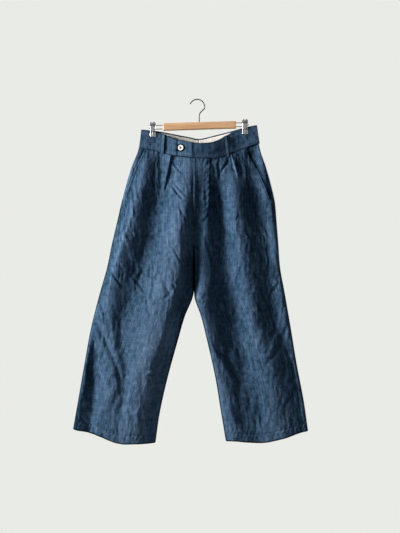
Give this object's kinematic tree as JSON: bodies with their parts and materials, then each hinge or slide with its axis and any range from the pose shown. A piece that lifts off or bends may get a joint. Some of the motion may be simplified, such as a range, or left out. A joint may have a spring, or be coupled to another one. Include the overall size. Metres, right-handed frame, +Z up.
{
  "type": "wide-leg trousers on a clip hanger",
  "caption": "Baggy wide-leg trousers with front pleats, slant pockets and a buttoned waistband tab, hung flat from a wooden bar hanger by spring clips.",
  "frame": {"origin": "underside of the hook's crown, where it rests on its nail or rail", "axes": "+Z up, -Y towards the front of the trousers, +X towards the wearer's left"},
  "size_m": [0.7499, 0.0696, 1.0986],
  "materials": {
    "linen": "matt navy linen, plain weave with slubs",
    "facing": "pale cotton facing with fine ticking stripes",
    "button": "polished off-white",
    "bar": "satin varnish, fine straight grain",
    "steel": "bright plated steel"
  },
  "bodies": {
    "root": {"front_right": "linen", "front_left": "linen", "back_right": "linen", "back_left": "linen", "pocket_right": "linen", "pocket_left": "linen", "waistband_right": "linen", "waistband_left": "linen", "fly": "linen", "loop_front_right": "linen", "loop_front_left": "linen", "loop_back_right": "linen", "loop_back_centre": "linen", "loop_back_left": "linen", "facing_right": "facing", "facing_left": "facing", "button": "button", "hanger_bar": "bar", "arm_right": "steel", "arm_left": "steel", "clip_front_right": "steel", "clip_back_right": "steel", "clip_spring_right": "steel", "clip_front_left": "steel", "clip_back_left": "steel", "clip_spring_left": "steel", "hook": "steel"}
  },
  "joints": []
}
